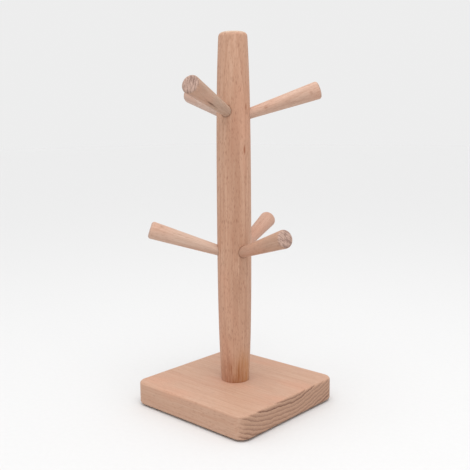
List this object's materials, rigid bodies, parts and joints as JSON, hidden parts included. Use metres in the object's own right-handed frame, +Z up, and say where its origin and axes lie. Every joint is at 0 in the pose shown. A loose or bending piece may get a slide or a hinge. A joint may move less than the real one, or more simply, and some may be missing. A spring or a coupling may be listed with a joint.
{
  "type": "mug tree",
  "caption": "Free-standing wooden mug holder: a square base, a barrel-turned post and rising, outward-flaring pegs in two tiers for hanging mugs by their handles.",
  "frame": {"origin": "on the resting plane under the middle of the square base, on the post's axis", "axes": "+Z up along the post; X along the base board's grain and Y across it, both parallel to the base's sides; -Y is the front"},
  "size_m": [0.1584, 0.1584, 0.3515],
  "materials": {
    "base_beech": "planed and sanded, unfinished, end grain on the X faces",
    "post_beech": "turned and sanded, unfinished, with short dark flecks",
    "peg_beech": "turned and sanded, unfinished, sawn tips",
    "zinc_steel": "zinc plated",
    "insert_brass": "machined",
    "pad_rubber": "matte, slightly textured"
  },
  "bodies": {
    "root": {"base_block": "base_beech", "post": "post_beech", "upper_peg_rear_right": "peg_beech", "upper_peg_left": "peg_beech", "upper_peg_front": "peg_beech", "lower_peg_rear": "peg_beech", "lower_peg_front_left": "peg_beech", "lower_peg_right": "peg_beech", "threaded_insert": "insert_brass", "fixing_bolt": "zinc_steel", "bolt_washer": "zinc_steel", "foot_pad_front_left": "pad_rubber", "foot_pad_front_right": "pad_rubber", "foot_pad_rear_left": "pad_rubber", "foot_pad_rear_right": "pad_rubber"}
  },
  "joints": []
}
